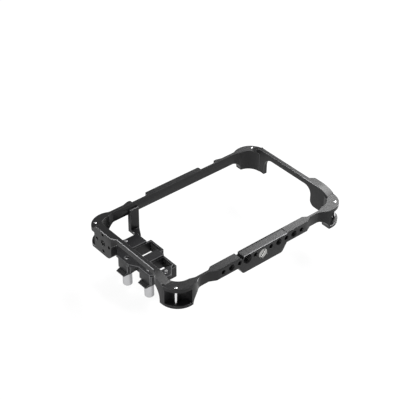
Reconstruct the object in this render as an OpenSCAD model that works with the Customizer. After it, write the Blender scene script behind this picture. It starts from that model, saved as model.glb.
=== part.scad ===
// Monitor cage: a one-piece metal frame round a flat field monitor, with a strap pin
// in each corner, a slotted screw through its lower rail and two sliding plug clamps
// on a bracket behind it. The screen side looks up (+Z) and the lower rail lies at -Y.
// The origin is on the axis of the large threaded hole in the lower rail, where its
// wall starts behind the chamfered mouth.

/* [Bay] */
// Width of the bay between the side bars
bay_w = 201; // [180:1:230]
// Length of the bay's corners from near to far
bay_l = 122; // [108:1:138]
// Distance from the cage's centre line to the middle of the bay
bay_shift = 1.5; // [0:0.25:3]
// Radius of the bay's corners
bay_r = 14.5; // [13:0.25:16.5]
// Length of the slants where the bay widens along both rails
bay_slant = 6; // [5:0.25:7]
// Distance from a bay corner's centre to the slant, along X
bay_land = 1; // [0.5:0.25:2]

/* [Corners] */
// Distance from the bay's side to the centre of a corner's outer arc
corner_in = 9.5; // [8:0.25:11]
// Distance from the bay's near edge to the centres of the near corners' arcs
near_in = 8.5; // [7:0.25:10]
// Distance from the bay's far edge to the centres of the far corners' arcs
far_in = 11.5; // [10:0.25:13]
// Radius of a corner's outer arc
corner_r = 19.3; // [17:0.1:21.5]
// Depth of a corner's root beyond its centre, along a side bar
corner_root = 3; // [2:0.25:4]
// Radius of the blend between a corner and a rail
blend_r = 8; // [7:0.5:9]
// Height of a corner from its top to its underside
post_h = 23; // [20:0.5:26]
// Thickness of a corner's upper plate
top_t = 4; // [3:0.25:5]
// Thickness of a corner's lower plate
base_t = 3.4; // [2.5:0.1:4.5]
// Thickness of the wall between a corner's strap space and the bay
wall_t = 3.3; // [2.5:0.1:4]
// Reach of a strap space past the corner's centre, along X
strap_x = 2; // [1:0.25:3]
// Distance from the corner's centre to its strap space, along Y
strap_y = 3.5; // [2.5:0.25:4.5]
// Radius of a strap pin
pin_r = 1.25; // [1:0.05:1.6]
// Distance from a strap pin's axis to the corner's outer arc
pin_edge = 3.744; // [3.2:0.002:4.2]
// Radius of the arch between a corner and the underside of a rail
rail_arch_r = 11; // [9:0.5:12.5]
// Distance from a corner's centre to the arch's foot
arch_set = 3.5; // [2.5:0.25:4.5]

/* [Lower rail] */
// Height of both rails
rail_h = 12; // [11:0.25:13]
// Step from the bay's near edge out to the necks' inner face
neck_step = 2; // [1.5:0.1:2.5]
// Thickness of the lower rail's necks beside the corners
neck_t = 3.1; // [2.5:0.1:3.6]
// Setback of the necks' outer face from the rail's outer face
neck_set = 3.5; // [3:0.1:4]
// Thickness of the lower rail's wide part
rail_t = 9.5; // [8.5:0.25:10.75]
// Length of the wide part beyond its last hole
rail_end = 8; // [6:0.5:10]
// Length of the bevels at the ends of the wide part's outer face
rail_bevel = 7; // [6:0.25:8]
// Length of the bevels at the ends of the wide part's inner face
inner_bevel = 4.5; // [4:0.25:5.5]
// Length of the wide part's inner face beyond the outer one, each end
inner_lap = 1; // [0.5:0.25:1.5]
// Reach of both rails into the corners, short of the corners' centres
rail_reach = 4; // [3:0.25:5]
// Distance between neighbouring holes in the lower rail
hole_pitch = 10; // [9:0.1:11.5]
// Metal over the large threaded hole, below the recess
large_cover = 0.7375; // [0.6:0.0125:1]
// Chamfer at the mouth of each hole in the lower rail
mouth = 0.5; // [0.3:0.1:0.6]
// Radius of the small locating holes
locate_r = 2.1; // [1.8:0.1:2.4]
// Depth of the small locating holes
locate_depth = 5; // [4:0.5:7]
// Radius of the medium threaded holes
medium_r = 3.175; // [2.8:0.025:3.6]
// Radius of the large threaded hole
large_r = 4.7625; // [4.25:0.0125:5.4]
// Half the width of the lug under the rail, at its root
lug_half = 31; // [27:0.5:35]
// Length of the slope at each end of the lug
lug_slope = 8; // [7:0.25:9]
// Depth of the lug below the rail
lug_drop = 9.2; // [8:0.1:10.5]
// Radius of the lug's lower corners
lug_r = 4; // [3:0.25:5]
// Depth of the shallow recess in the rail's top
recess_depth = 0.5; // [0.3:0.1:0.7]
// Width of the lip behind the recess
recess_lip = 1.4; // [1:0.1:2]
// Distance from the large hole to the recess's left end
recess_gap = 0.24; // [0.1:0.02:0.5]
// Width of the cross slot at the recess's left end
cross_w = 4; // [3:0.25:4.5]
// Depth of the cross slot
cross_depth = 3; // [2:0.25:3.5]

/* [Upper rail] */
// Step from the bay's far edge out to the upper rail's inner face
far_step = 1.7; // [1.4:0.1:2]
// Thickness of the upper rail
far_t = 2; // [1.8:0.1:2.6]
// Extra thickness of the upper rail between the stops and the corners
far_shoulder = 1.6; // [1.2:0.1:2]
// Half the length of the upper rail's middle flange
flange_half = 35; // [31:0.1:39]
// Depth of the middle flange
flange_reach = 4.4; // [3.5:0.1:5]
// Cut across the outer corners of the flange and the stops
flange_cut = 1.2; // [0.8:0.1:1.6]
// Setback of the stops' ends from the flange's edge
stop_set = 1; // [0.5:0.25:1.5]
// Clear width of the gap between the flange and each stop
shoe_gap = 19; // [17:0.1:21.5]
// Width of a stop's flat end
stop_w = 4; // [3.5:0.25:6]
// Length of a stop's sloping side
stop_slope = 6; // [5:0.25:7]

/* [Side bars] */
// Step from the bay's side out to a side bar's inner face
bar_step = 0.5; // [0.25:0.25:1]
// Width of a side bar
bar_w = 4.5; // [4:0.25:5.25]
// Height of the side bars' tops above the rails' tops
bar_rise = 5; // [4:0.25:6]
// Thickness of a side bar
bar_t = 6.5; // [5.5:0.25:7.5]
// Distance from the near corners' centres to the start of the side bars' ramps
ramp_in = 16; // [14:0.5:18]
// Length of the side bars' ramps
ramp_run = 18; // [16:0.5:20.5]
// Length of the steep fall at the side bars' far ends
crest_run = 6; // [5:0.25:7]
// Distance from the far corner's centre back to the right bar's crest
crest_set = 1.2; // [0.8:0.1:1.6]
// Radius of the arch under the left bar's near end
left_arch_r = 18; // [16:0.5:20.5]
// Radius of the arch beside each side block
block_arch_r = 9; // [7:0.5:10]
// Radius of the arch under the right bar's far end
right_arch_r = 11; // [9:0.5:13]
// Distance from the far corner's centre to the right bar's far wall
right_end = 10; // [8:0.5:12]
// Length of a side block, from its corner's centre
block_len = 23; // [20:0.5:26]
// Setback of the left block's outer face from the corners' outer sides
block_set = 1.3; // [0.9:0.1:1.7]
// Radius of a side block's lower corner
block_r = 7; // [6:0.5:8]
// Length of the slanted step from the left bar to its block
block_slant = 5; // [4:0.5:6]
// Distance from the slanted step's end to the block's inner end
block_lead = 1; // [0.5:0.25:1.5]
// Length of the corners' full width along the left bar
flare_lead = 9; // [8:0.5:10]
// Length of the taper from the near left corner to the bar
flare_run = 8; // [7:0.5:9]
// Length of the right block's full width beyond its inner end
right_lead = 3; // [2:0.25:4]
// Length of the taper from the right block to the bar
right_taper = 4; // [3:0.25:5]
// Length of the taper from the right bar to its far corner
far_taper = 9; // [8:0.5:10]
// Extra width at the far end of that taper
far_flare = 2; // [1.5:0.1:2.5]
// Reach of the side bars' ends into the near corners
bar_root = 5; // [4:0.25:6]
// Metal between the five-hole pattern and the left block's inner end
pattern_edge = 1; // [0.6:0.1:1.4]
// Depth of the five-hole pattern's centre below the rails' tops
pattern_z = 8.5; // [7.5:0.1:9.6]
// Radius of the circle through the pattern's four outer holes
pattern_r = 9.7; // [8.7:0.1:10.9]
// Radius of the pattern's four outer holes
pattern_hole_r = 1.7; // [1.4:0.05:2]
// Depth of the pattern's holes
pattern_depth = 6; // [5:0.25:7]

/* [Captive screw] */
// Depth of the captive screw's axis below the rail's top
cap_z = 9.6; // [8.5:0.1:10.8]
// Radius of the captive screw's shank
cap_r = 3.175; // [2.8:0.025:3.6]
// Radius of the captive screw's head
cap_head_r = 5.25; // [4.7:0.05:5.9]
// Thickness of the captive screw's head
cap_head_t = 2.3; // [2:0.1:2.6]
// Thickness of the washer under the captive screw's head
cap_washer_t = 0.9; // [0.7:0.1:1.2]
// Depth of the head's face below the rail's outer face
cap_sink = 0.3; // [0.1:0.1:0.6]
// Length of the captive screw's thread inside the bay
cap_reach = 5.6; // [4:0.2:7]
// Width of the captive screw's slot
cap_slot_w = 1.5; // [1.2:0.1:1.8]
// Depth of the captive screw's slot
cap_slot_d = 1.15; // [0.9:0.05:1.4]
// Turn of the captive screw's slot from level, in degrees
cap_slot_turn = 55; // [0:5:90]

/* [Rear arm and bracket] */
// Distance from the corners' undersides to the bracket plate's front face
plate_gap = 4.5; // [3.5:0.25:5.5]
// Thickness of the bracket plate
plate_t = 3; // [2.5:0.1:3.5]
// Thickness of the rear arm
arm_t = 3.5; // [3:0.1:4]
// Distance from the bay's left side to the arm screw
arm_in_x = 24.5; // [22:0.5:27.5]
// Distance from the bay's far edge to the arm screw
arm_in_y = 14; // [12.5:0.25:16]
// Width of the arm's band beyond the arm screw
band_up = 3; // [2.5:0.25:3.5]
// Width of the arm's band before the arm screw
band_down = 4; // [3.5:0.25:4.5]
// Radius of the arm's round tab
tab_r = 6.5; // [5.75:0.25:7.25]
// Distance from the arm screw to the arm's leg
leg_gap = 16; // [14:0.5:18]
// Width of the arm's leg
leg_w = 11; // [10:0.5:12.5]
// Thickness of the leg inside the upper rail's inner face
leg_lap = 2.5; // [2:0.1:3]
// Size of the bends between the leg and the band, along X
bend_x = 6; // [5:0.25:7]
// Size of the bends between the leg and the band, along Y
bend_y = 4.5; // [4:0.25:5.5]
// Narrowing of the leg's foot at its right side
foot_right = 1.5; // [1:0.25:2]
// Distance from the upper rail's outer face to the narrowed foot
foot_len = 6.2; // [5.5:0.1:7]
// Place of the band's wide end beside the corner, left of the arm screw
band_left = 10; // [9:0.5:11.5]
// Place of the band's lower left end, left of the arm screw
band_end = 15; // [13.5:0.5:16.5]
// Half the width of the arm's corner leg, along X and Y
turn_half = 4; // [3.5:0.25:4.5]
// Reach of the corner leg inside the bay's corner, along X and Y
turn_inside = 2.25; // [2:0.25:2.75]
// Reach of the corner leg outside the bay's corner, along X and Y
turn_outside = 1.5; // [1.25:0.25:2]
// Radius of the two bracket screws' shanks
fix_r = 1.5; // [1.25:0.05:1.7]
// Radius of the two bracket screws' heads
fix_head_r = 2.75; // [2.5:0.05:3.1]
// Height of the two bracket screws' heads
fix_head_t = 2; // [1.6:0.1:2.4]
// Radius of the hex sockets in the bracket screws
fix_socket_r = 1.2; // [1:0.05:1.4]
// Depth of the hex sockets in the bracket screws
fix_socket_d = 1.2; // [0.9:0.1:1.4]
// Setback of the arm screw's tip from the plate's front face
fix_tip = 0.2; // [0.1:0.1:0.5]
// Length of the lug screw in front of the bracket plate
lug_screw_reach = 3; // [2.5:0.25:3.5]
// Distance from the plate's lower edge to the lug screw
lug_out = 4; // [3.5:0.25:4.5]
// Radius of the plate's round lug
lug_tab_r = 5.4; // [4.8:0.1:6]
// Distance from the arm screw to the plate's right edge
plate_right = 16; // [14:0.5:18]
// Size of the cut at the plate's lower right corner, along X
plate_cut_x = 6; // [5:0.25:7]
// Size of the cuts at the plate's lower corners, along Y
plate_cut_y = 3; // [2.5:0.25:3.5]
// Place of the plate's lower left corner, left of the arm screw
plate_left = 10; // [9:0.5:11.5]
// Height of the plate's left edge above the upper clamp's axis
plate_shoulder = 10; // [9:0.5:11.5]
// Radius of a bracket dowel
dowel_r = 0.8; // [0.6:0.05:1]
// Distance from the arm screw to the line of dowels
dowel_in = 4; // [3.5:0.25:4.5]
// Distance from the upper ring to the dowel beside it
dowel_up = 3.5; // [3:0.25:4]
// Distance from the lower ring to the dowel beside it
dowel_down = 1.6; // [1.4:0.1:1.9]
// Height of the dowels' ends behind the plate
dowel_show = 0.4; // [0.2:0.1:0.6]

/* [Plug clamps] */
// Distance from the arm screw to the upper thumbscrew, along X
upper_off = 15; // [13.5:0.5:17]
// Distance from the arm screw to the lower thumbscrew, along X
lower_off = 9.5; // [8.5:0.5:10.5]
// Distance from the arm screw to the upper thumbscrew, along Y
upper_drop = 21; // [20:0.25:23.5]
// Distance between the two thumbscrews, along Y
clamp_pitch = 27.5; // [24.5:0.25:31]
// Width of a clamp ring across its arms
ring_w = 21; // [20:0.25:23.5]
// Wall of a clamp ring
ring_wall = 2; // [1.6:0.1:2.3]
// Depth of a clamp ring
ring_d = 13; // [11.7:0.1:14.5]
// Chamfer at a clamp ring's outer corners
ring_chamfer = 1; // [0.8:0.1:1.2]
// Thickness of a clamp ring's tongue
bridge_t = 2.7; // [2.4:0.1:3]
// Half the width of a clamp ring's tongue
tongue_half = 6.1; // [5.5:0.1:6.8]
// Distance from a thumbscrew to the tip of its ring's tongue
ring_over = 9; // [8.5:0.25:10]
// Thickness of the tongue at its wedge's tip
tongue_tip = 0.7; // [0.5:0.1:1]
// Metal between a thumbscrew's slot and the end of the ring's bridge
bridge_end = 2.2; // [1.8:0.1:2.6]
// Length of the upper clamp's window
upper_window = 26.5; // [23.5:0.5:30]
// Length of the lower clamp's window
lower_window = 15.2; // [13.6:0.2:17.2]
// Travel of a clamp ring along X
ring_travel = 5; // [4.5:0.25:5.75]
// Gap between an anvil's right end and the end of its ring's bridge
anvil_gap = 1; // [0.7:0.1:1.3]
// Distance from a thumbscrew to the left end of its anvil
anvil_left = 5.2; // [4.7:0.1:5.8]
// Half the width of an anvil's wide left part
anvil_wide = 9.35; // [8.9:0.05:9.8]
// Length of an anvil's wide part beyond the thumbscrew's axis
anvil_step = 1.5; // [1:0.1:2]
// Chamfers at the left end of the upper anvil
upper_chamfer = 2.1; // [1.7:0.1:2.5]
// Chamfers at the left end of the lower anvil
lower_chamfer = 1; // [0.7:0.1:1.3]
// Thickness of the rubber pad in a clamp ring
pad_t = 1; // [0.8:0.1:1.5]
// Distance from a pad's sides to the ring's walls
pad_margin = 1; // [0.5:0.1:1.5]
// Distance from a pad's ends to the ring's front and back
pad_inset = 2; // [1.5:0.1:2.5]
// Radius of a thumbscrew's thread
thumb_r = 2; // [1.75:0.05:2.3]
// Distance from a thumbscrew's tip to the plate's front face
tip_set = 1.5; // [1:0.1:2]
// Radius of a thumbscrew's knurled sleeve
knob_r = 4.8; // [4.3:0.1:5.3]
// Length of a thumbscrew's knurled sleeve
knob_h = 14.7; // [13:0.1:16.5]
// Chamfer at both ends of the knurled sleeve
knob_edge = 0.5; // [0.3:0.1:0.7]
// Radius of a thumbscrew's end boss
boss_r = 2.5; // [2.2:0.1:2.8]
// Height of a thumbscrew's end boss
boss_h = 1.6; // [1:0.1:2.2]
// Radius of the hex socket in a thumbscrew's end boss
boss_socket_r = 1.4; // [1.1:0.1:1.7]
// Thickness of the washer under a thumbscrew
thumb_washer_t = 1; // [0.8:0.1:1.4]
// Setback of that washer's edge from the knurled sleeve's
washer_set = 0.4; // [0.2:0.1:0.8]

/* [Fits] */
// Radial clearance of a shaft that turns in a bore
run_fit = 0.05; // [0.02:0.01:0.09]
// Radial clearance of a pin or screw that stays put
seat_fit = 0.02; // [0.01:0.01:0.05]
// Gap between pieces that slide past each other
slide_gap = 0.3; // [0.25:0.05:0.5]
// Gap between a washer and the head that turns on it
turn_gap = 0.1; // [0.05:0.05:0.3]

/* [Hidden] */
$fn = 64;
over = 1;
weld = 0.03;
bay_half_x = bay_w / 2;
bay_near = bay_l / 2 - bay_shift;
bay_far = bay_l / 2 + bay_shift;
bay_cx = bay_half_x - bay_r;
corner_x = bay_half_x - corner_in;
near_y = bay_near - near_in;
far_y = bay_far - far_in;
side_out = corner_x + corner_r;
pin_off = (corner_r - pin_edge) * sqrt(0.5);
neck_in = bay_near + neck_step;
neck_out = neck_in + neck_t;
rail_out = neck_out + neck_set;
rail_in = rail_out - rail_t;
rail_half = 5 * hole_pitch + rail_end;
hole_z = recess_depth + large_r + large_cover;
recess_left = 2 * hole_pitch + large_r + recess_gap;
top_in = bay_far + far_step;
top_out = top_in + far_t;
flange_out = top_out + flange_reach;
stop_in = flange_half + shoe_gap;
stop_out = stop_in + stop_w;
bar_in = bay_half_x + bar_step;
bar_out = bar_in + bar_w;
block_out = side_out - block_set;
left_block = far_y - block_len;
right_block = near_y - block_len;
pattern_y = left_block + pattern_edge + pattern_hole_r + pattern_r;
cap_floor = cap_sink + cap_head_t + turn_gap + cap_washer_t + run_fit;
plate_z = post_h + plate_gap;
plate_back = plate_z + plate_t;
arm_back = plate_back + arm_t;
arm_x = bay_half_x - arm_in_x;
arm_y = bay_far - arm_in_y;
upper_x = arm_x + upper_off;
lower_x = arm_x + lower_off;
upper_y = arm_y - upper_drop;
lower_y = upper_y - clamp_pitch;
plate_low = lower_y - ring_w / 2;
lug_y = plate_low - lug_out;
ring_front = plate_back + slide_gap;
ring_back = ring_front + ring_d;
bridge_front = ring_back - bridge_t;
bridge_right = ring_travel + thumb_r + slide_gap + bridge_end;
arm_start = anvil_step + ring_travel + slide_gap;
anvil_back = bridge_front - slide_gap;
anvil_half = ring_w / 2 - ring_wall - slide_gap;
anvil_right = bridge_right - anvil_gap;
washer_face = ring_back + slide_gap;
knob_face = washer_face + thumb_washer_t + turn_gap;
dowel_x = arm_x + dowel_in;
dowel_places = [upper_y + ring_w / 2 + dowel_up, (upper_y + lower_y) / 2, plate_low - dowel_down];
origin = [2 * hole_pitch, rail_out - mouth, hole_z];
frame_col = [0.16, 0.16, 0.17];
clamp_col = [0.13, 0.13, 0.14];
steel_col = [0.78, 0.78, 0.80];
rubber_col = [0.07, 0.07, 0.07];

// Moves the cage from its centre to the large threaded hole.
module place(c) {
  color(c) translate(origin) children();
}

// Extrudes a plan from one level up to another.
module slab(z0, z1) {
  translate([0, 0, z0]) linear_extrude(z1 - z0) children();
}

// Extrudes a profile drawn in Y and Z from one X to another.
module side_slab(x0, x1) {
  translate([x0, 0, 0]) rotate([90, 0, 90]) linear_extrude(x1 - x0) children();
}

// Extrudes a profile drawn in X and Z towards -Y, from a start Y.
module front_slab(y0, depth) {
  translate([0, y0, 0]) rotate([90, 0, 0]) linear_extrude(depth) children();
}

// A cylinder along +Y, from one Y to another.
module along_y(x, y0, y1, z, r) {
  translate([x, y0, z]) rotate([-90, 0, 0]) cylinder(h = y1 - y0, r = r);
}

// A cylinder along +Z, from one level up to another.
module along_z(x, y, z0, z1, r) {
  translate([x, y, z0]) cylinder(h = z1 - z0, r = r);
}

// A closed outline from its right half, given from one end of the centre line to the other.
function both_ways(half) = concat(half, [for (i = [len(half) - 1:-1:0]) [-half[i][0], half[i][1]]]);

// The plan of the bay, with its round corners and the shallow bays along both rails.
module bay_plan() {
  low = bay_near - bay_r;
  high = bay_far - bay_r;
  translate([-bay_half_x, -low]) square([2 * bay_half_x, low + high]);
  translate([-bay_cx, -bay_near]) square([2 * bay_cx, bay_near + bay_far]);
  for (sx = [-1, 1]) {
    translate([sx * bay_cx, -low]) circle(bay_r);
    translate([sx * bay_cx, high]) circle(bay_r);
  }
  edge = bay_cx - bay_land;
  step = edge - bay_slant;
  polygon([[-edge, 0], [-edge, -bay_near], [-step, -neck_in], [step, -neck_in], [edge, -bay_near], [edge, 0]]);
  polygon([[-edge, 0], [-edge, bay_far], [-step, top_in], [step, top_in], [edge, bay_far], [edge, 0]]);
}

// The plan of a corner at +X and +Y, blended into a rail whose outer face is at neck.
module corner_plan(centre_y, neck) {
  blend_y = neck + blend_r;
  blend_x = corner_x - sqrt(pow(corner_r + blend_r - weld, 2) - pow(blend_y - centre_y, 2));
  intersection() {
    translate([0, centre_y - corner_root]) square([2 * corner_x, 2 * corner_r]);
    union() {
      translate([corner_x, centre_y]) circle(corner_r);
      difference() {
        polygon([[blend_x, blend_y], [corner_x, centre_y], [blend_x, centre_y]]);
        translate([blend_x, blend_y]) circle(blend_r);
      }
    }
  }
}

// The strap space between a corner's plates, drawn at +X and +Y.
module strap_space(centre_y, reach) {
  slab(-post_h + base_t, -top_t) difference() {
    translate([corner_x - strap_x, centre_y + strap_y]) square([2 * corner_r, 2 * corner_r]);
    translate([bay_cx, reach - bay_r]) circle(bay_r + wall_t);
  }
}

// One corner post, with an arch up to the rail.
module corner(centre_y, neck) {
  arch_x = corner_x - arch_set - rail_arch_r;
  arch_z = -rail_h - rail_arch_r;
  difference() {
    slab(-post_h, 0) corner_plan(centre_y, neck);
    translate([0, 0, -post_h - over]) cube([arch_x, 2 * bay_far, post_h - rail_h + over]);
    translate([arch_x, 0, arch_z]) rotate([-90, 0, 0]) cylinder(h = 2 * bay_far, r = rail_arch_r);
    translate([0, 0, -2 * post_h]) cube([arch_x + rail_arch_r, 2 * bay_far, 2 * post_h + arch_z]);
  }
}

// The window under a side bar: arched to a wall at -near and at +far.
module bar_window(near, near_r, far, far_r) {
  top = bar_rise - bar_t;
  low = -2 * post_h;
  translate([-near + near_r, low]) square([near + far - near_r - far_r, top - low]);
  translate([-near, low]) square([near_r, top - near_r - low]);
  translate([far - far_r, low]) square([far_r, top - far_r - low]);
  translate([-near + near_r, top - near_r]) circle(near_r);
  translate([far - far_r, top - far_r]) circle(far_r);
}

// The side view of a bar with both its ends, its near top falling along an arc.
module bar_profile(near, near_r, far, far_r, crest) {
  fall = near_y - ramp_in;
  ramp_r = (ramp_run * ramp_run + bar_rise * bar_rise) / (2 * bar_rise);
  crest_end = crest + crest_run;
  difference() {
    union() {
      intersection() {
        translate([-fall, bar_rise - ramp_r]) circle(ramp_r, $fn = 128);
        translate([-fall - ramp_run - over, -post_h]) square([ramp_run + 2 * over, post_h + bar_rise]);
      }
      polygon([[-fall, -post_h], [crest_end, -post_h], [crest_end, 0], [crest, bar_rise], [-fall, bar_rise]]);
    }
    bar_window(near, near_r, far, far_r);
  }
}

// Rounds the lower corner of a side block: the corner is at y, the block lies towards dir.
module block_corner(y, dir) {
  difference() {
    translate([dir > 0 ? y - over : y - block_r, -post_h - over]) square(block_r + over);
    translate([y + dir * block_r, -post_h + block_r]) circle(block_r);
  }
}

// The left bar, with its block for the five-hole pattern at the far end.
module left_side() {
  intersection() {
    side_slab(-side_out - over, -bar_in) difference() {
      bar_profile(near_y - corner_root, left_arch_r, left_block, block_arch_r, far_y);
      block_corner(left_block, 1);
    }
    slab(-post_h - over, bar_rise + over) polygon([
      [-bar_in, -near_y - bar_root], [-side_out, -near_y], [-side_out, -near_y + flare_lead],
      [-bar_out, -near_y + flare_lead + flare_run], [-bar_out, left_block - block_lead - block_slant],
      [-block_out, left_block - block_lead], [-block_out, far_y + crest_run + over],
      [-bar_in, far_y + crest_run + over]]);
  }
}

// The trim that takes the far left corner back to the left block's outer face.
module block_trim() {
  translate([-side_out - over, far_y - corner_root - over, -post_h - over])
    cube([block_set + over, corner_r, post_h + bar_rise + 2 * over]);
}

// The right bar, with its wide ramped block at the near end.
module right_side() {
  intersection() {
    side_slab(bar_in, side_out + over) difference() {
      bar_profile(right_block, block_arch_r, far_y - right_end, right_arch_r, far_y - crest_set);
      block_corner(-right_block, -1);
    }
    slab(-post_h - over, bar_rise + over) polygon([
      [bar_in, -near_y - bar_root], [side_out, -near_y], [side_out, -right_block + right_lead],
      [bar_out, -right_block + right_lead + right_taper], [bar_out, far_y + bar_root - far_taper],
      [bar_out + far_flare, far_y + bar_root], [bar_in, far_y + crest_run]]);
  }
}

// The lower rail's plan: a wide middle with bevelled ends and a narrow neck each side.
module near_rail_plan() {
  tip = corner_x - rail_reach;
  lap = rail_half + inner_lap;
  polygon(both_ways([
    [rail_half, -rail_out], [rail_half + rail_bevel, -neck_out], [tip, -neck_out],
    [tip, -neck_in], [lap + inner_bevel, -neck_in], [lap, -rail_in]]));
}

// The upper rail's plan: a thin wall with a middle flange and a stop each side.
module far_rail_plan() {
  tip = corner_x - rail_reach;
  shoulder = top_out + far_shoulder;
  stop_end = flange_out - stop_set;
  polygon(both_ways([
    [tip, top_in], [tip, shoulder], [stop_out + stop_slope, shoulder], [stop_out, stop_end],
    [stop_in + flange_cut, stop_end], [stop_in, stop_end - flange_cut], [stop_in, top_out],
    [flange_half, top_out], [flange_half, flange_out - flange_cut], [flange_half - flange_cut, flange_out]]));
}

// The lug under the lower rail, as seen from the front.
module lug_profile() {
  foot = lug_half - lug_slope;
  low = -rail_h - lug_drop;
  rise = lug_drop - lug_r;
  reach = sqrt(lug_slope * lug_slope + rise * rise);
  lean = atan2(rise, lug_slope) + asin((lug_r - weld) / reach);
  side = sqrt(reach * reach - lug_r * lug_r);
  tip = [lug_half - side * cos(lean), -rail_h - side * sin(lean)];
  polygon(both_ways([[lug_half, -rail_h + over], [lug_half, -rail_h], tip, [foot, low + weld]]));
  for (sx = [-1, 1]) translate([sx * foot, low + lug_r]) circle(lug_r);
}

// The rear arm: a leg down from the upper rail, a band behind the bay with a round tab,
// and a leg forward to the lower plate of the far left corner.
module rear_arm() {
  leg_l = leg_gap - arm_x;
  leg_r = leg_l + leg_w;
  turn_x = bay_cx + bay_r * sqrt(0.5);
  turn_y = bay_far - bay_r + bay_r * sqrt(0.5);
  inner = turn_inside;
  outer = turn_outside;
  turn_up = [-turn_x - outer + turn_half, turn_y + outer + turn_half];
  turn_down = [-turn_x - outer - turn_half, turn_y + outer - turn_half];
  slab(-arm_back, -plate_back) {
    difference() {
      polygon([
        [leg_r, top_out], [leg_l, top_out], [leg_l, arm_y + band_up + bend_x],
        [leg_l - bend_x, arm_y + band_up], [-arm_x - band_left, arm_y + band_up], turn_up, turn_down,
        [-arm_x - band_end, arm_y - band_down], [leg_l - bend_x / 2, arm_y - band_down],
        [leg_l + bend_x / 2, arm_y - band_down + bend_y], [leg_r - foot_right, top_out - foot_len]]);
      translate([leg_l - bend_x + weld, arm_y + band_up + bend_x - weld]) circle(bend_x);
    }
    translate([-arm_x, arm_y]) circle(tab_r);
  }
  translate([leg_l, top_in - leg_lap, -arm_back]) cube([leg_w, far_t + leg_lap, arm_back - rail_h / 2]);
  slab(-arm_back, -post_h + base_t / 2) difference() {
    polygon([
      [-turn_x + inner + turn_half, turn_y - inner + turn_half], turn_up, turn_down,
      [-turn_x + inner - turn_half, turn_y - inner - turn_half]]);
    bay_plan();
  }
}

// A threaded or locating hole from the lower rail's outer face, with a chamfered mouth.
module rail_hole(x, r, depth) {
  along_y(x, -rail_out - over, -rail_out + depth, -hole_z, r);
  translate([x, -rail_out - 0.01, -hole_z]) rotate([-90, 0, 0]) cylinder(h = mouth, r1 = r + mouth, r2 = r);
}

// The row of holes along the lower rail: locating holes with threaded ones between.
module rail_holes() {
  for (k = [0, 2, 4, 6, 8, 10]) rail_hole((k - 5) * hole_pitch, locate_r, locate_depth);
  for (k = [1, 7, 9]) rail_hole((k - 5) * hole_pitch, medium_r, rail_t + over);
  rail_hole(-2 * hole_pitch, large_r, rail_t + over);
}

// The five holes in the left block's outer face.
module block_holes() {
  translate([-block_out - over, pattern_y, -pattern_z]) rotate([0, 90, 0]) {
    cylinder(h = pattern_depth + over, r = medium_r);
    for (a = [0, 90, 180, 270])
      rotate([0, 0, a]) translate([pattern_r, 0, 0]) cylinder(h = pattern_depth + over, r = pattern_hole_r);
  }
}

// The captive screw's bore through the rail, with a sunk seat for its head and washer.
module captive_bore() {
  along_y(0, -rail_out - over, -rail_in + over, -cap_z, cap_r + run_fit);
  along_y(0, -rail_out - over, -rail_out + cap_floor, -cap_z, cap_head_r + slide_gap);
}

module cage_frame() {
  place(frame_col) difference() {
    union() {
      difference() {
        union() {
          for (sx = [0, 1]) mirror([sx, 0, 0]) {
            mirror([0, 1, 0]) corner(near_y, neck_out);
            corner(far_y, top_out + far_shoulder);
          }
          left_side();
          right_side();
        }
        for (sx = [0, 1]) mirror([sx, 0, 0]) {
          mirror([0, 1, 0]) strap_space(near_y, bay_near);
          strap_space(far_y, bay_far);
        }
        slab(-post_h - over, bar_rise + over) bay_plan();
      }
      slab(-rail_h, 0) near_rail_plan();
      slab(-rail_h, 0) far_rail_plan();
      front_slab(-rail_in, rail_t) lug_profile();
      rear_arm();
    }
    rail_holes();
    block_trim();
    block_holes();
    captive_bore();
    translate([-recess_left, -rail_out - over, -recess_depth])
      cube([recess_left + lug_half, rail_t - recess_lip + over, recess_depth + over]);
    translate([-recess_left - cross_w, -rail_out - over, -cross_depth])
      cube([cross_w, rail_t + 2 * over, cross_depth + over]);
    for (sx = [-1, 1], y = [-near_y - pin_off, far_y + pin_off])
      along_z(sx * (corner_x + pin_off), y, -post_h - over, over, pin_r + seat_fit);
    along_z(-arm_x, arm_y, -arm_back - over, -plate_back + over, fix_r + seat_fit);
  }
}

// A steel strap pin through both plates of a corner.
module strap_pin(sx, y) {
  place(steel_col) along_z(sx * (corner_x + pin_off), y, -post_h, 0, pin_r);
}

module near_left_pin() {
  strap_pin(-1, -near_y - pin_off);
}

module near_right_pin() {
  strap_pin(1, -near_y - pin_off);
}

module far_left_pin() {
  strap_pin(-1, far_y + pin_off);
}

module far_right_pin() {
  strap_pin(1, far_y + pin_off);
}

// The slotted screw through the lower rail, held in a sunk seat.
module captive_screw() {
  head_y = -rail_out + cap_sink;
  place(steel_col) difference() {
    union() {
      along_y(0, head_y, head_y + cap_head_t, -cap_z, cap_head_r);
      along_y(0, head_y, -rail_in + cap_reach, -cap_z, cap_r);
    }
    translate([0, head_y - over, -cap_z]) rotate([0, -cap_slot_turn, 0])
      translate([-cap_head_r - over, 0, -cap_slot_w / 2])
        cube([2 * cap_head_r + 2 * over, over + cap_slot_d, cap_slot_w]);
  }
}

// The washer that carries the captive screw in and out.
module captive_washer() {
  washer_y = -rail_out + cap_sink + cap_head_t + turn_gap;
  place(steel_col) difference() {
    along_y(0, washer_y, washer_y + cap_washer_t, -cap_z, cap_head_r);
    along_y(0, washer_y - over, washer_y + cap_washer_t + over, -cap_z, cap_r + run_fit);
  }
}

// The fixed block that a clamp ring slides along: wide and chamfered under the tongue,
// narrower where the ring's arms close round it.
module anvil(x, y, chamfer) {
  left = -x - anvil_left;
  step = -x + anvil_step;
  slab(-anvil_back, -plate_back + over) {
    polygon([
      [left, y - anvil_wide + chamfer], [left + chamfer, y - anvil_wide], [step, y - anvil_wide],
      [step, y + anvil_wide], [left + chamfer, y + anvil_wide], [left, y + anvil_wide - chamfer]]);
    translate([-x, y - anvil_half]) square([anvil_right, 2 * anvil_half]);
  }
}

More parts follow.
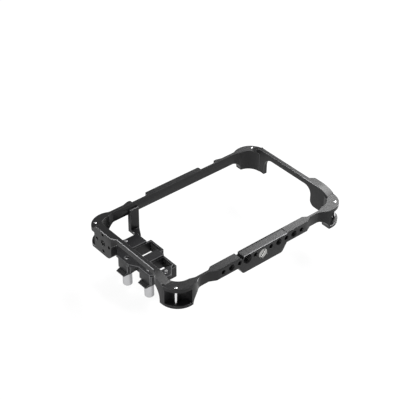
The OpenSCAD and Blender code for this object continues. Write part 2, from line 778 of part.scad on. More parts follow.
module clamp_bracket() {
  right = plate_right - arm_x;
  cheek = (lug_tab_r - weld) * [cos(31), -sin(31)];
  thumbs = [[-upper_x, upper_y], [-lower_x, lower_y]];
  place(clamp_col) difference() {
    union() {
      slab(-plate_back, -plate_z) {
        polygon([
          [right, arm_y + band_up], [right, plate_low + plate_cut_y], [right - plate_cut_x, plate_low],
          [-arm_x + cheek[0], lug_y + cheek[1]], [-arm_x - cheek[0], lug_y + cheek[1]],
          [-arm_x - plate_left, plate_low], [-lower_x - anvil_left, plate_low + plate_cut_y],
          [-lower_x - anvil_left, lower_y + anvil_wide], [-upper_x - anvil_left, upper_y - anvil_wide],
          [-upper_x - anvil_left, upper_y + plate_shoulder],
          [-upper_x, arm_y - band_up], [-upper_x, arm_y + band_up]]);
        translate([-arm_x, lug_y]) circle(lug_tab_r);
      }
      anvil(upper_x, upper_y, upper_chamfer);
      anvil(lower_x, lower_y, lower_chamfer);
    }
    for (t = thumbs) {
      slab(-plate_back - over, -plate_z + over) translate([t[0] + anvil_right, t[1] - anvil_half])
        square([right - t[0], 2 * anvil_half]);
      along_z(t[0], t[1], -anvil_back - over, -plate_z + over, thumb_r + run_fit);
    }
    for (y = [arm_y, lug_y]) along_z(-arm_x, y, -plate_back - over, -plate_z + over, fix_r + seat_fit);
    for (y = dowel_places) along_z(-dowel_x, y, -plate_back - over, -plate_z + over, dowel_r + seat_fit);
  }
}

// A bracket screw with a hex socket, from its head's back to its tip.
module fix_screw(y, seat, tip) {
  difference() {
    union() {
      along_z(-arm_x, y, -seat - fix_head_t, -seat, fix_head_r);
      along_z(-arm_x, y, -seat - fix_head_t, -tip, fix_r);
    }
    translate([-arm_x, y, -seat - fix_head_t - over]) cylinder(h = over + fix_socket_d, r = fix_socket_r, $fn = 6);
  }
}

module arm_screw() {
  place(steel_col) fix_screw(arm_y, arm_back, plate_z + fix_tip);
}

module lug_screw() {
  place(steel_col) fix_screw(lug_y, plate_back, plate_z - lug_screw_reach);
}

module bracket_dowels() {
  place(steel_col) for (y = dowel_places) along_z(-dowel_x, y, -plate_back - dowel_show, -plate_z, dowel_r);
}

// A clamp ring: a deep loop for the plug, bridged behind its anvil by a slotted tongue
// that ends in a wedge.
module clamp_ring(x, y, window) {
  tip = -x - ring_over;
  edge = -x - anvil_left;
  left = -x + arm_start;
  bridge = -x + bridge_right;
  right = bridge + window + ring_wall;
  half = ring_w / 2;
  inner = half - ring_wall;
  difference() {
    union() {
      front_slab(y + tongue_half, 2 * tongue_half) polygon([
        [tip, -ring_back], [tip, -ring_back + tongue_tip], [edge, -bridge_front],
        [bridge, -bridge_front], [bridge, -ring_back]]);
      slab(-ring_back, -ring_front) polygon([
        [left, y - half], [right - ring_chamfer, y - half], [right, y - half + ring_chamfer],
        [right, y + half - ring_chamfer], [right - ring_chamfer, y + half], [left, y + half]]);
    }
    slab(-ring_back - over, -ring_front + over) translate([bridge, y - inner]) square([window, 2 * inner]);
    slab(-bridge_front, -ring_front + over) translate([left - over, y - inner])
      square([bridge - left + 2 * over, 2 * inner]);
    slab(-ring_back - over, -bridge_front + over) {
      translate([-x, y - thumb_r - slide_gap]) square([ring_travel, 2 * (thumb_r + slide_gap)]);
      for (s = [0, ring_travel]) translate([-x + s, y]) circle(thumb_r + slide_gap);
    }
  }
}

module upper_ring() {
  place(clamp_col) clamp_ring(upper_x, upper_y, upper_window);
}

module lower_ring() {
  place(clamp_col) clamp_ring(lower_x, lower_y, lower_window);
}

// The rubber pad on the inside of a clamp ring's far wall.
module clamp_pad(x, y, window) {
  wall = bridge_right + window - x;
  half = ring_w / 2 - ring_wall - pad_margin;
  translate([wall - pad_t, y - half, -ring_back + pad_inset]) cube([pad_t, 2 * half, ring_d - 2 * pad_inset]);
}

module upper_pad() {
  place(rubber_col) clamp_pad(upper_x, upper_y, upper_window);
}

module lower_pad() {
  place(rubber_col) clamp_pad(lower_x, lower_y, lower_window);
}

// The washer between a clamp ring's bridge and its thumbscrew.
module thumb_washer(x, y) {
  back = washer_face + thumb_washer_t;
  difference() {
    along_z(-x, y, -back, -washer_face, knob_r - washer_set);
    along_z(-x, y, -back - over, -washer_face + over, thumb_r + run_fit);
  }
}

module upper_washer() {
  place(steel_col) thumb_washer(upper_x, upper_y);
}

module lower_washer() {
  place(steel_col) thumb_washer(lower_x, lower_y);
}

// The knurled sleeve on a thumbscrew, chamfered at both ends.
module knob(x, y) {
  bore = thumb_r + seat_fit;
  translate([-x, y, -knob_face - knob_h]) rotate_extrude() polygon([
    [bore, 0], [knob_r - knob_edge, 0], [knob_r, knob_edge], [knob_r, knob_h - knob_edge],
    [knob_r - knob_edge, knob_h], [bore, knob_h]]);
}

module upper_knob() {
  place(steel_col) knob(upper_x, upper_y);
}

module lower_knob() {
  place(steel_col) knob(lower_x, lower_y);
}

// A thumbscrew's core: its thread in the anvil and its end boss with a hex socket.
module thumbscrew(x, y) {
  end = -knob_face - knob_h;
  difference() {
    union() {
      along_z(-x, y, end - boss_h, end, boss_r);
      along_z(-x, y, end - boss_h, -plate_z - tip_set, thumb_r);
    }
    translate([-x, y, end - boss_h - over]) cylinder(h = over + boss_h, r = boss_socket_r, $fn = 6);
  }
}

module upper_thumbscrew() {
  place(steel_col) thumbscrew(upper_x, upper_y);
}

module lower_thumbscrew() {
  place(steel_col) thumbscrew(lower_x, lower_y);
}

cage_frame();
near_left_pin();
near_right_pin();
far_left_pin();
far_right_pin();
captive_screw();
captive_washer();
clamp_bracket();
arm_screw();
lug_screw();
bracket_dowels();
upper_ring();
lower_ring();
upper_pad();
lower_pad();
upper_washer();
lower_washer();
upper_knob();
lower_knob();
upper_thumbscrew();
lower_thumbscrew();
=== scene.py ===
import math

import bmesh
import bpy
from mathutils import Matrix, Vector


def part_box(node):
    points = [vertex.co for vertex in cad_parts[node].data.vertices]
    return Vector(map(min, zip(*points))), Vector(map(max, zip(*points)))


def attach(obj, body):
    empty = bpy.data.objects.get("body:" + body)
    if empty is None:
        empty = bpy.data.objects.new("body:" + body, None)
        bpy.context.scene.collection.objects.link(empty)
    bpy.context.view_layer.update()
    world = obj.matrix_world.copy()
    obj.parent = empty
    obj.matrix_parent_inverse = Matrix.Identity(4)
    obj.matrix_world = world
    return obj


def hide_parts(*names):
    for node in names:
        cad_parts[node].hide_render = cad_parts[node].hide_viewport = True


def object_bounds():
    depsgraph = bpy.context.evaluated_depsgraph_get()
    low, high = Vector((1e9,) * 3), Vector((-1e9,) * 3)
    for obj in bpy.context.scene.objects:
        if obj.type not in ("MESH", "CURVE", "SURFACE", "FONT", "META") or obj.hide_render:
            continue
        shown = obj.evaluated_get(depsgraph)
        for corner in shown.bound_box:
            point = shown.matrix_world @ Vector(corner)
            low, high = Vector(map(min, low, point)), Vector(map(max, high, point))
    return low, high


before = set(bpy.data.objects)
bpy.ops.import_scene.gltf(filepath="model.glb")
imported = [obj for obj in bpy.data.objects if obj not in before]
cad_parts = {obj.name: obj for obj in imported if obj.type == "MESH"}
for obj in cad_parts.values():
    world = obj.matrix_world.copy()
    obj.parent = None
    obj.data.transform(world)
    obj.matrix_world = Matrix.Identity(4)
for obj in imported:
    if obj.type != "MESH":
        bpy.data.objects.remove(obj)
cad_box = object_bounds()
scene = bpy.context.scene


# Cage frame. One piece of aluminium, milled from the solid, bead blasted and
# anodised satin black. The cutter breaks every outer edge with a fine chamfer,
# which is given a lighter metal material as a painted highlight along the edges.
GRAIN_SCALE, CLOUD_SCALE = 6000.0, 45.0
FLECK_RATIO, FLECK_WEIGHT = 0.6, 0.6
GRAIN_HEIGHT = 0.00004
DYED_IOR = 1.22
WELD = 1e-6
FLAT_ANGLE, CREASE_ANGLE = math.radians(0.4), math.radians(25)
FRAME_CHAMFER, FRAME_CORNER = 0.00035, 50.0


def new_material(name):
    """A fresh material, with its node tree and its shader."""
    material = bpy.data.materials.new(name)
    material.use_nodes = True
    tree = material.node_tree
    return material, tree, tree.nodes["Principled BSDF"]


def add_node(tree, kind, **values):
    """A node whose inputs, or else whose settings, are given by name."""
    node = tree.nodes.new(kind)
    for key, value in values.items():
        socket = node.inputs.get(key.replace("_", " "))
        if socket is not None:
            socket.default_value = value
        else:
            setattr(node, key, value)
    return node


def grain_group():
    """The blasted grain: bead marks as height, flecks as tone and slow clouds as patches."""
    group = bpy.data.node_groups.new("blasted_grain", "ShaderNodeTree")
    for name, scale in (("Grain", GRAIN_SCALE), ("Cloud", CLOUD_SCALE)):
        socket = group.interface.new_socket(
            name, in_out="INPUT", socket_type="NodeSocketFloat"
        )
        socket.default_value = scale
    for name in ("Height", "Tone", "Patch"):
        group.interface.new_socket(name, in_out="OUTPUT", socket_type="NodeSocketFloat")
    given = group.nodes.new("NodeGroupInput")
    result = group.nodes.new("NodeGroupOutput")
    place = add_node(group, "ShaderNodeTexCoord")
    beads = add_node(group, "ShaderNodeTexNoise", Detail=2.0, Roughness=0.6)
    cloud = add_node(group, "ShaderNodeTexNoise", Detail=4.0, Roughness=0.55)
    flecks = add_node(group, "ShaderNodeTexVoronoi")
    ratio = add_node(group, "ShaderNodeMath", operation="MULTIPLY")
    ratio.inputs[1].default_value = FLECK_RATIO
    group.links.new(given.outputs["Grain"], beads.inputs["Scale"])
    group.links.new(given.outputs["Grain"], ratio.inputs[0])
    group.links.new(ratio.outputs[0], flecks.inputs["Scale"])
    group.links.new(given.outputs["Cloud"], cloud.inputs["Scale"])
    for texture in (beads, cloud, flecks):
        group.links.new(place.outputs["Object"], texture.inputs["Vector"])
    group.links.new(beads.outputs["Fac"], result.inputs["Height"])
    group.links.new(flecks.outputs["Distance"], result.inputs["Tone"])
    group.links.new(cloud.outputs["Fac"], result.inputs["Patch"])
    return group


BLASTED = grain_group()


def blasted_metal(name, dark, light, rough, grain, depth, sheen, metallic=0.0):
    """A blasted and dyed surface: mottled colour, mottled roughness and a fine grain."""
    material, tree, shader = new_material(name)
    surface = add_node(tree, "ShaderNodeGroup")
    surface.node_tree = BLASTED
    surface.inputs["Grain"].default_value = grain
    colour = add_node(tree, "ShaderNodeMix", data_type="RGBA")
    colour.inputs["A"].default_value = (*dark, 1)
    colour.inputs["B"].default_value = (*light, 1)
    gloss = add_node(tree, "ShaderNodeMapRange", To_Min=rough[0], To_Max=rough[1])
    bump = add_node(tree, "ShaderNodeBump", Strength=depth, Distance=GRAIN_HEIGHT)
    mottle = add_node(tree, "ShaderNodeMath", operation="MULTIPLY_ADD")
    mottle.inputs[1].default_value = FLECK_WEIGHT
    tree.links.new(surface.outputs["Tone"], mottle.inputs[0])
    tree.links.new(surface.outputs["Patch"], mottle.inputs[2])
    tree.links.new(mottle.outputs[0], colour.inputs["Factor"])
    tree.links.new(colour.outputs["Result"], shader.inputs["Base Color"])
    tree.links.new(surface.outputs["Patch"], gloss.inputs["Value"])
    tree.links.new(gloss.outputs["Result"], shader.inputs["Roughness"])
    tree.links.new(surface.outputs["Height"], bump.inputs["Height"])
    tree.links.new(bump.outputs["Normal"], shader.inputs["Normal"])
    shader.inputs["Specular IOR Level"].default_value = sheen
    shader.inputs["IOR"].default_value = DYED_IOR
    shader.inputs["Metallic"].default_value = metallic
    return material


def finished_copy(node, name, edge, materials, sharp=28.0):
    """A copy of a CAD solid with its outer edges broken by a chamfer in the second material,
    which on the black parts is lighter: a painted highlight.
    """
    bm = bmesh.new()
    bm.from_mesh(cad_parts[node].data)
    bmesh.ops.remove_doubles(bm, verts=bm.verts, dist=WELD)
    bmesh.ops.dissolve_limit(bm, angle_limit=FLAT_ANGLE, verts=bm.verts, edges=bm.edges)
    outer = [
        e for e in bm.edges
        if e.is_manifold and e.is_convex and e.calc_face_angle() > math.radians(sharp)
    ]
    for face in bm.faces:
        face.material_index = 0
    broken = bmesh.ops.bevel(
        bm, geom=outer, offset=edge, offset_type="OFFSET", affect="EDGES",
        segments=1, profile=0.5, material=-1, clamp_overlap=False, loop_slide=False,
    )
    # The chamfer faces take the second material; where that one is lighter, it is a painted
    # highlight on the edges.
    for face in broken["faces"]:
        face.material_index = 1
    bmesh.ops.triangulate(bm, faces=[f for f in bm.faces if len(f.verts) > 4])
    mesh = bpy.data.meshes.new(name)
    bm.to_mesh(mesh)
    bm.free()
    for material in materials:
        mesh.materials.append(material)
    mesh.shade_smooth()
    mesh.set_sharp_from_angle(angle=CREASE_ANGLE)
    piece = bpy.data.objects.new(name, mesh)
    scene.collection.objects.link(piece)
    weighted = piece.modifiers.new("even_normals", "WEIGHTED_NORMAL")
    weighted.keep_sharp = True
    return piece


def stands_for(piece, node, body):
    """The finished piece takes the place of its CAD solid and rides with the same body."""
    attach(piece, body)
    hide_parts(node)


frame_black = blasted_metal(
    "frame_black", dark=(0.005, 0.005, 0.0055), light=(0.010, 0.010, 0.0105),
    rough=(0.27, 0.36), grain=5200.0, depth=0.03, sheen=0.80,
)
# The chamfer material: a lighter, metallic black that paints a highlight along the edges.
frame_edge_highlight = blasted_metal(
    "frame_edge_highlight", dark=(0.05, 0.05, 0.051), light=(0.09, 0.09, 0.092),
    rough=(0.26, 0.40), grain=3000.0, depth=0.15, sheen=0.5, metallic=1.0,
)
cage_body = finished_copy(
    "cage_frame", "cage_body", FRAME_CHAMFER, (frame_black, frame_edge_highlight), sharp=FRAME_CORNER
)
stands_for(cage_body, "cage_frame", "cage")


# Threads of the frame's holes. Four holes in the lower rail and the middle hole of
# the left block are tapped: a sharp helical tooth stands in from the bore's wall,
# cut in the same metal and anodised with it.
X_AXIS, Y_AXIS, Z_AXIS = Vector((1, 0, 0)), Vector((0, 1, 0)), Vector((0, 0, 1))
TOOTH_HALF, TOOTH_SUNK = 0.46, 0.00006
MEDIUM_RADIUS, MEDIUM_TOOTH, MEDIUM_PITCH = 0.003175, 0.0006, 0.00127
LARGE_RADIUS, LARGE_TOOTH, LARGE_PITCH = 0.0047625, 0.0008, 0.0015875
MEDIUM_PLACES, MEDIUM_START, MEDIUM_LENGTH = (-0.020, 0.040, 0.060), 0.0009, 0.0078
LARGE_START, LARGE_LENGTH = 0.0010, 0.0076
BLOCK_START, BLOCK_LENGTH = Vector((-0.0882, 0.108, -0.0025)), 0.0046


def coil_tooth(bm, foot, along, radial, radius, tooth, pitch, length, steps=28):
    """A helical tooth as a closed coil: its root lies in the wall and its crest stands in."""
    half = pitch * TOOTH_HALF
    crest, sunk = radius - tooth, radius + TOOTH_SUNK
    corners = [
        bm.verts.new(foot + along * half * side + radial * reach)
        for side, reach in ((-1, sunk), (0, crest), (1, sunk))
    ]
    section = bm.faces.new(corners)
    turns = max(1, int(length / pitch))
    bmesh.ops.spin(
        bm, geom=[section, *section.edges, *section.verts], cent=foot, axis=along,
        dvec=along * (pitch / steps), angle=math.tau * turns, steps=steps * turns,
    )


def plain_piece(bm, name, materials, smooth=30.0):
    """Turns a modelled shape into an object whose place is in its mesh."""
    bmesh.ops.recalc_face_normals(bm, faces=bm.faces)
    mesh = bpy.data.meshes.new(name)
    bm.to_mesh(mesh)
    bm.free()
    for material in materials:
        mesh.materials.append(material)
    mesh.shade_smooth()
    mesh.set_sharp_from_angle(angle=math.radians(smooth))
    piece = bpy.data.objects.new(name, mesh)
    scene.collection.objects.link(piece)
    return piece


threads = bmesh.new()
for across in MEDIUM_PLACES:
    coil_tooth(
        threads, Vector((across, MEDIUM_START, 0)), Y_AXIS, X_AXIS,
        MEDIUM_RADIUS, MEDIUM_TOOTH, MEDIUM_PITCH, MEDIUM_LENGTH,
    )
coil_tooth(
    threads, Vector((0, LARGE_START, 0)), Y_AXIS, X_AXIS,
    LARGE_RADIUS, LARGE_TOOTH, LARGE_PITCH, LARGE_LENGTH,
)
coil_tooth(
    threads, BLOCK_START, X_AXIS, Y_AXIS,
    MEDIUM_RADIUS, MEDIUM_TOOTH, MEDIUM_PITCH, BLOCK_LENGTH,
)
rail_threads = plain_piece(threads, "rail_threads", (frame_black,))
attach(rail_threads, "cage")


# Strap pins. Four ground steel pins are pressed through both plates of the corners,
# and a strap loops round the bare length between the plates.
PIN_CHAMFER = 0.0002
RING_HEIGHT = 0.00002
ACROSS_SCALE, TARNISH_SCALE, TARNISH = 60.0, 260.0, 0.86


def turned_metal(name, colour, rough, streak, depth, axis):
    """Bright turned steel: fine rings round an axis, a little patchy."""
    material, tree, shader = new_material(name)
    place = add_node(tree, "ShaderNodeTexCoord")
    stretch = add_node(tree, "ShaderNodeMapping")
    stretch.inputs["Scale"].default_value = [streak if a else ACROSS_SCALE for a in axis]
    rings = add_node(tree, "ShaderNodeTexNoise", Scale=1.0, Detail=3.0, Roughness=0.65)
    cloud = add_node(tree, "ShaderNodeTexNoise", Scale=TARNISH_SCALE, Detail=3.0)
    gloss = add_node(tree, "ShaderNodeMapRange", To_Min=rough[0], To_Max=rough[1])
    shade = add_node(tree, "ShaderNodeMix", data_type="RGBA")
    shade.inputs["A"].default_value = (*[c * TARNISH for c in colour], 1)
    shade.inputs["B"].default_value = (*colour, 1)
    bump = add_node(tree, "ShaderNodeBump", Strength=depth, Distance=RING_HEIGHT)
    tree.links.new(place.outputs["Object"], stretch.inputs["Vector"])
    tree.links.new(stretch.outputs["Vector"], rings.inputs["Vector"])
    tree.links.new(place.outputs["Object"], cloud.inputs["Vector"])
    tree.links.new(rings.outputs["Fac"], gloss.inputs["Value"])
    tree.links.new(cloud.outputs["Fac"], shade.inputs["Factor"])
    tree.links.new(shade.outputs["Result"], shader.inputs["Base Color"])
    tree.links.new(gloss.outputs["Result"], shader.inputs["Roughness"])
    tree.links.new(rings.outputs["Fac"], bump.inputs["Height"])
    tree.links.new(bump.outputs["Normal"], shader.inputs["Normal"])
    shader.inputs["Metallic"].default_value = 1.0
    return material


pin_steel = turned_metal(
    "pin_steel", colour=(0.86, 0.86, 0.87), rough=(0.16, 0.34),
    streak=9000.0, depth=0.12, axis=Z_AXIS,
)
for corner in ("near_left", "near_right", "far_left", "far_right"):
    pin = finished_copy(
        f"{corner}_pin", f"{corner}_strap_pin", PIN_CHAMFER, (pin_steel, pin_steel)
    )
    stands_for(pin, f"{corner}_pin", "cage")


# Captive screw and its washer. A nickel-plated slotted screw with a quarter inch
# thread passes through the lower rail, and the washer keeps it in its sunk seat.
# Its slot is painted dark, a painted shade for the shadow inside it.
THREAD_DEPTH = 0.55
SET_IN, THREAD_WELD = 0.0002, 1e-7
HEAD_CHAMFER, RING_CHAMFER = 0.00025, 0.0001
SLOT_TURN = math.radians(55)
SLOT_HALF, SLOT_DEPTH, HEAD_SKIN = 0.00082, 0.00125, 0.0001
SEAT_BACK, SCREW_CREST = 0.0091, 0.00315


def threaded_end(piece, foot, along, length, crest, pitch, steps=36):
    """Cuts a screw's plain shank off at a plane and sets a threaded rod in it instead."""
    root = crest - pitch * THREAD_DEPTH
    out = along.orthogonal().normalized()
    turns = math.ceil((length + SET_IN) / pitch) - 1
    start = foot + along * (length - (turns + 1) * pitch)
    bm = bmesh.new()
    bm.from_mesh(piece.data)
    cut = bmesh.ops.bisect_plane(
        bm, geom=[*bm.verts, *bm.edges, *bm.faces],
        plane_co=foot, plane_no=along, clear_outer=True,
    )["geom_cut"]
    bmesh.ops.holes_fill(bm, edges=[g for g in cut if isinstance(g, bmesh.types.BMEdge)])
    shank = set(bm.verts)
    tooth = [
        bm.verts.new(start + along * rise + out * reach)
        for rise, reach in ((0, root), (pitch / 2, crest), (pitch, root))
    ]
    flanks = [bm.edges.new(pair) for pair in zip(tooth, tooth[1:])]
    bmesh.ops.spin(
        bm, geom=[*tooth, *flanks], cent=start, axis=along, dvec=along * (pitch / steps),
        angle=math.tau * turns, steps=steps * turns,
    )
    rod = [v for v in bm.verts if v not in shank]
    bmesh.ops.remove_doubles(bm, verts=rod, dist=THREAD_WELD)
    rim = [e for e in bm.edges if e.is_boundary]
    for level in (0.5, turns + 0.5):
        hub = bm.verts.new(start + along * level * pitch)
        for edge in rim:
            first, second = edge.verts
            rise = ((first.co + second.co) / 2 - start).dot(along) / pitch
            if abs(rise - level) < 0.6:
                bm.faces.new((first, second, hub))
    bmesh.ops.recalc_face_normals(bm, faces=bm.faces)
    bm.to_mesh(piece.data)
    bm.free()
    piece.data.shade_smooth()
    piece.data.set_sharp_from_angle(angle=CREASE_ANGLE)


screw_steel = turned_metal(
    "screw_steel", colour=(0.40, 0.40, 0.39), rough=(0.20, 0.40),
    streak=7000.0, depth=0.15, axis=Y_AXIS,
)
# A dark steel for the slot: painted shade inside the recess.
slot_painted_shade = turned_metal(
    "slot_painted_shade", colour=(0.10, 0.10, 0.10), rough=(0.35, 0.55),
    streak=7000.0, depth=0.15, axis=Y_AXIS,
)
captive = finished_copy(
    "captive_screw", "slotted_screw", HEAD_CHAMFER, (screw_steel, screw_steel)
)
captive.data.materials.append(slot_painted_shade)
low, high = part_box("captive_screw")
screw_axis = Vector(((low.x + high.x) / 2, 0, (low.z + high.z) / 2))
slot_across = Vector((-math.sin(SLOT_TURN), 0, math.cos(SLOT_TURN)))
# Faces inside the slot, below a thin skin of the head, take the dark slot material: painted
# shade.
for face in captive.data.polygons:
    inside = abs((face.center - screw_axis).dot(slot_across)) < SLOT_HALF
    if inside and low.y + HEAD_SKIN < face.center.y < low.y + SLOT_DEPTH:
        face.material_index = 2
threaded_end(
    captive, screw_axis + Y_AXIS * SEAT_BACK, Y_AXIS, high.y - SEAT_BACK,
    SCREW_CREST, MEDIUM_PITCH,
)
stands_for(captive, "captive_screw", "captive_bolt")
captive_ring = finished_copy(
    "captive_washer", "slotted_screw_washer", RING_CHAMFER, (screw_steel, screw_steel)
)
stands_for(captive_ring, "captive_washer", "captive_ring")


# Clamp bracket. A milled aluminium plate behind the bay carries the two anvils that
# the clamp rings slide on. It is black anodised like the frame, and its chamfers get a
# lighter material as a painted highlight. It is screwed to the frame's arm.
BRACKET_CHAMFER = 0.0004
clamp_black = blasted_metal(
    "clamp_black", dark=(0.006, 0.006, 0.007), light=(0.012, 0.012, 0.013),
    rough=(0.26, 0.38), grain=5200.0, depth=0.03, sheen=0.75,
)
# The chamfer material: a lighter black that paints a highlight along the edges.
clamp_edge_highlight = blasted_metal(
    "clamp_edge_highlight", dark=(0.05, 0.05, 0.052), light=(0.12, 0.12, 0.124),
    rough=(0.26, 0.40), grain=3000.0, depth=0.15, sheen=0.5,
)
bracket = finished_copy(
    "clamp_bracket", "bracket_plate", BRACKET_CHAMFER, (clamp_black, clamp_edge_highlight)
)
stands_for(bracket, "clamp_bracket", "cage")


# Bracket screws and dowels. Two steel socket screws go through the bracket, one into
# the frame's arm and one with a bare threaded end above the plate, and three bright
# dowels are pressed in beside them to keep the bracket square.
SOCKET_CHAMFER, DOWEL_CHAMFER = 0.0002, 0.0001
THREAD_LIFT, LUG_CREST, LUG_PITCH = 0.00005, 0.00148, 0.0005
fix_steel = turned_metal(
    "fix_steel", colour=(0.74, 0.74, 0.75), rough=(0.22, 0.42),
    streak=7000.0, depth=0.15, axis=Z_AXIS,
)
plate_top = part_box("clamp_bracket")[1].z
for node, name in (("arm_screw", "arm_socket_screw"), ("lug_screw", "lug_socket_screw")):
    screw = finished_copy(node, name, SOCKET_CHAMFER, (fix_steel, fix_steel))
    low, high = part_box(node)
    bare = Vector(((low.x + high.x) / 2, (low.y + high.y) / 2, plate_top + THREAD_LIFT))
    if high.z > bare.z:
        threaded_end(screw, bare, Z_AXIS, high.z - bare.z, LUG_CREST, LUG_PITCH)
    stands_for(screw, node, "cage")
dowels = finished_copy(
    "bracket_dowels", "bright_dowels", DOWEL_CHAMFER, (pin_steel, pin_steel)
)
stands_for(dowels, "bracket_dowels", "cage")


# Plug clamp rings and their pads. Each ring is a deep loop of aluminium, black
# anodised, that slides along its anvil. A ribbed pad of moulded rubber is glued
# inside its far wall.
CLAMP_CHAMFER = 0.0003
PAD_RIBS, RIB_DEPTH = 7, 0.00035
RIB_PROFILE = ((1.0, 0.0), (0.3, 0.15), (0.0, 0.35), (0.0, 0.65), (0.3, 0.85))
PAD_GRAIN, PAD_GRAIN_HEIGHT = 2600.0, 0.00006


def rubber(name):
    """Matt moulded rubber with a coarse skin."""
    material, tree, shader = new_material(name)
    surface = add_node(tree, "ShaderNodeGroup")
    surface.node_tree = BLASTED
    surface.inputs["Grain"].default_value = PAD_GRAIN
    shade = add_node(tree, "ShaderNodeMix", data_type="RGBA")
    shade.inputs["A"].default_value = (0.008, 0.008, 0.008, 1)
    shade.inputs["B"].default_value = (0.020, 0.020, 0.019, 1)
    gloss = add_node(tree, "ShaderNodeMapRange", To_Min=0.62, To_Max=0.85)
    bump = add_node(tree, "ShaderNodeBump", Strength=0.5, Distance=PAD_GRAIN_HEIGHT)
    tree.links.new(surface.outputs["Patch"], shade.inputs["Factor"])
    tree.links.new(surface.outputs["Tone"], gloss.inputs["Value"])
    tree.links.new(surface.outputs["Height"], bump.inputs["Height"])
    tree.links.new(shade.outputs["Result"], shader.inputs["Base Color"])
    tree.links.new(gloss.outputs["Result"], shader.inputs["Roughness"])
    tree.links.new(bump.outputs["Normal"], shader.inputs["Normal"])
    return material


pad_rubber = rubber("pad_rubber")


def ribbed_pad(node, name):
    """A moulded strip with rounded ribs across the face that grips."""
    low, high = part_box(node)
    pitch = (high.z - low.z) / PAD_RIBS
    outline = [(high.x, low.z), (high.x, high.z)]
    for rib in range(PAD_RIBS):
        top = high.z - rib * pitch
        outline += [
            (low.x + RIB_DEPTH * sink, top - pitch * fall) for sink, fall in RIB_PROFILE
        ]
    outline.append((low.x + RIB_DEPTH, low.z))
    bm = bmesh.new()
    end = bm.faces.new([bm.verts.new((x, low.y, z)) for x, z in outline])
    grown = bmesh.ops.extrude_face_region(bm, geom=[end])["geom"]
    far_end = [g for g in grown if isinstance(g, bmesh.types.BMVert)]
    bmesh.ops.translate(bm, verts=far_end, vec=(0, high.y - low.y, 0))
    bmesh.ops.triangulate(bm, faces=[f for f in bm.faces if len(f.verts) > 4])
    return plain_piece(bm, name, (pad_rubber,), smooth=40.0)


for place in ("upper", "lower"):
    # The ring's chamfers take the lighter edge material, a painted highlight.
    ring = finished_copy(
        f"{place}_ring", f"{place}_clamp_ring", CLAMP_CHAMFER, (clamp_black, clamp_edge_highlight)
    )
    stands_for(ring, f"{place}_ring", f"{place}_clamp")
    pad = ribbed_pad(f"{place}_pad", f"{place}_rubber_pad")
    stands_for(pad, f"{place}_pad", f"{place}_clamp")


# Thumbscrews. A finely knurled sleeve of silver anodised aluminium is pressed on a
# steel screw. A loose washer lies between the sleeve and the clamp ring.
KNURLS, KNURL_DEPTH, KNURL_ROWS = 76, 0.00014, 34
SLEEVE_CHAMFER, SLEEVE_BORE = 0.0005, 0.00202
CORE_CHAMFER, WASHER_CHAMFER = 0.0002, 0.00012
knob_silver = blasted_metal(
    "knob_silver", dark=(0.42, 0.42, 0.43), light=(0.56, 0.56, 0.57),
    rough=(0.28, 0.42), grain=4000.0, depth=0.12, sheen=0.5, metallic=1.0,
)


def knurled_sleeve(node, name):
    """A sleeve drawn up ring by ring from its bore, with crossed knurls on its band."""
    low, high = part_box(node)
    middle = (low + high) / 2
    outer = (high.x - low.x) / 2
    height = high.z - low.z
    bm = bmesh.new()
    ring = bmesh.ops.create_circle(
        bm, cap_ends=False, segments=2 * KNURLS, radius=SLEEVE_BORE,
        matrix=Matrix.Translation((middle.x, middle.y, low.z)),
    )["verts"]
    ring_edges = list({e for v in ring for e in v.link_edges})
    first = list(ring_edges)
    band = height - 2 * SLEEVE_CHAMFER
    profile = [
        (outer - SLEEVE_CHAMFER, 0.0, False), (outer - KNURL_DEPTH, SLEEVE_CHAMFER, False),
    ]
    profile += [
        (outer, SLEEVE_CHAMFER + band * (k + 0.5) / KNURL_ROWS, True)
        for k in range(KNURL_ROWS)
    ]
    profile += [
        (outer - KNURL_DEPTH, height - SLEEVE_CHAMFER, False),
        (outer - SLEEVE_CHAMFER, height, False), (SLEEVE_BORE, height, False),
    ]
    centre = Vector((middle.x, middle.y, 0))
    for row, (reach, rise, cut) in enumerate(profile):
        grown = bmesh.ops.extrude_edge_only(bm, edges=ring_edges)["geom"]
        ring_edges = [g for g in grown if isinstance(g, bmesh.types.BMEdge)]
        for v in [g for g in grown if isinstance(g, bmesh.types.BMVert)]:
            out = Vector((v.co.x, v.co.y, 0)) - centre
            tooth = round(math.atan2(out.y, out.x) / math.pi * KNURLS)
            deep = KNURL_DEPTH if cut and (tooth + row) % 2 else 0.0
            v.co = centre + out.normalized() * (reach - deep) + Z_AXIS * (low.z + rise)
    bmesh.ops.bridge_loops(bm, edges=first + ring_edges)
    return plain_piece(bm, name, (knob_silver,), smooth=24.0)


for place in ("upper", "lower"):
    sleeve = knurled_sleeve(f"{place}_knob", f"{place}_knurled_sleeve")
    stands_for(sleeve, f"{place}_knob", f"{place}_thumb")
    core = finished_copy(
        f"{place}_thumbscrew", f"{place}_thumb_core", CORE_CHAMFER, (fix_steel, fix_steel)
    )
    stands_for(core, f"{place}_thumbscrew", f"{place}_thumb")
    washer = finished_copy(
        f"{place}_washer", f"{place}_loose_washer", WASHER_CHAMFER, (fix_steel, fix_steel)
    )
    stands_for(washer, f"{place}_washer", f"{place}_thumb_washer")


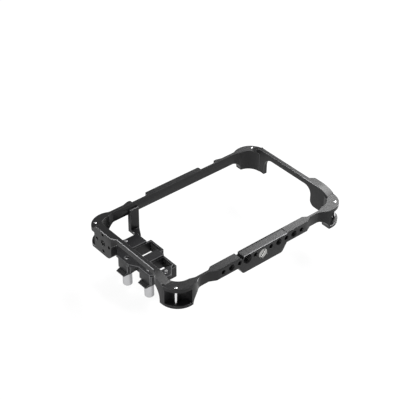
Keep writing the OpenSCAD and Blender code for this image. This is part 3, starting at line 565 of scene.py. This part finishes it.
# Studio. A pale floor under the knobs, a dim surround and five soft boxes: a long one
# over the right side with a small one behind it for the sheen on the ramps and tops,
# and three more at the back left, the near left and the right for the edges and bevels.
FLOOR_HALF, FLOOR_DROP = 4.0, 0.0013
FLOOR_ROUGH, FLOOR_WHITE_SHARE = 0.9, 0.9
SURROUND_LEVEL = 0.25
AIM, REACH = Vector((0.02, 0.068, -0.01)), 1.4
SOFT_BOXES = (
    # name, direction, long side's direction, width, length, watts
    ("key_box", (0.60, 0.03, 0.80), (0.10, 0.985, -0.12), 0.35, 1.0, 30.0),
    ("top_box", (0.63, 0.47, 0.62), (0, 0, 1), 0.3, 0.3, 3.8),
    ("rim_box", (-0.60, 0.60, 0.52), (0, 0, 1), 0.4, 0.4, 9.0),
    ("bevel_box", (-0.92, -0.28, 0.25), (0, 0, 1), 0.4, 0.4, 12.0),
    ("low_box", (0.95, -0.12, 0.27), (0, 0, 1), 0.3, 0.3, 5.0),
)

floor_mesh = bmesh.new()
bmesh.ops.create_grid(
    floor_mesh, x_segments=1, y_segments=1, size=FLOOR_HALF,
    matrix=Matrix.Translation((0, 0, cad_box[0].z - FLOOR_DROP)),
)
floor = plain_piece(floor_mesh, "studio_floor", ())
floor_white, tree, shader = new_material("floor_white")
shader.inputs["Base Color"].default_value = (0.9, 0.9, 0.9, 1)
shader.inputs["Roughness"].default_value = FLOOR_ROUGH
floor.data.materials.append(floor_white)
rays = add_node(tree, "ShaderNodeLightPath")
seen = add_node(tree, "ShaderNodeMath", operation="MAXIMUM")
seen_all = add_node(tree, "ShaderNodeMath", operation="MAXIMUM")
share = add_node(tree, "ShaderNodeMath", operation="MULTIPLY")
share.inputs[1].default_value = FLOOR_WHITE_SHARE
glow = add_node(tree, "ShaderNodeEmission", Strength=1.0)
blend = add_node(tree, "ShaderNodeMixShader")
tree.links.new(rays.outputs["Is Camera Ray"], seen.inputs[0])
tree.links.new(rays.outputs["Is Glossy Ray"], seen.inputs[1])
tree.links.new(seen.outputs[0], seen_all.inputs[0])
tree.links.new(rays.outputs["Is Transmission Ray"], seen_all.inputs[1])
tree.links.new(seen_all.outputs[0], share.inputs[0])
tree.links.new(share.outputs[0], blend.inputs["Fac"])
tree.links.new(shader.outputs[0], blend.inputs[1])
tree.links.new(glow.outputs[0], blend.inputs[2])
tree.links.new(blend.outputs[0], tree.nodes["Material Output"].inputs["Surface"])

world = bpy.data.worlds.new("studio_surround")
scene.world = world
world.use_nodes = True
backdrop = world.node_tree.nodes["Background"]
backdrop.inputs["Color"].default_value = (1, 1, 1, 1)
backdrop.inputs["Strength"].default_value = SURROUND_LEVEL

for name, towards, along, wide, long, watts in SOFT_BOXES:
    lamp = bpy.data.lights.new(name, "AREA")
    lamp.shape = "RECTANGLE"
    lamp.size = wide
    lamp.size_y = long
    lamp.energy = watts
    box = bpy.data.objects.new(name, lamp)
    scene.collection.objects.link(box)
    away = Vector(towards).normalized()
    side = Vector(along).cross(away).normalized()
    facing = Matrix((side, away.cross(side), away)).transposed().to_4x4()
    box.matrix_world = Matrix.Translation(AIM + away * REACH) @ facing


# Camera. A long lens from the near left and above, at the photograph's angle. Its focal
# length is given in the photograph's own pixels, and the shift sets the framing.
PHOTO_WIDTH, PHOTO_FOCAL = 400, 1150.2
SENSOR = 36.0
CAMERA_PLACE = (-0.5723, -0.6075, 0.6890)
CAMERA_RIGHT, CAMERA_BACK = (0.7589, -0.6510, 0.0144), (-0.5247, -0.5983, 0.6056)
lens = bpy.data.cameras.new("camera")
lens.sensor_width = SENSOR
lens.lens = PHOTO_FOCAL / PHOTO_WIDTH * SENSOR
lens.shift_x = -0.0418
lens.shift_y = 0.0307
lens.clip_start = 0.01
camera = bpy.data.objects.new("camera", lens)
scene.collection.objects.link(camera)
right, back = Vector(CAMERA_RIGHT).normalized(), Vector(CAMERA_BACK).normalized()
up = back.cross(right).normalized()
right = up.cross(back)
turn = Matrix((right, up, back)).transposed().to_4x4()
camera.matrix_world = Matrix.Translation(CAMERA_PLACE) @ turn
scene.camera = camera
scene.view_settings.view_transform = "Standard"
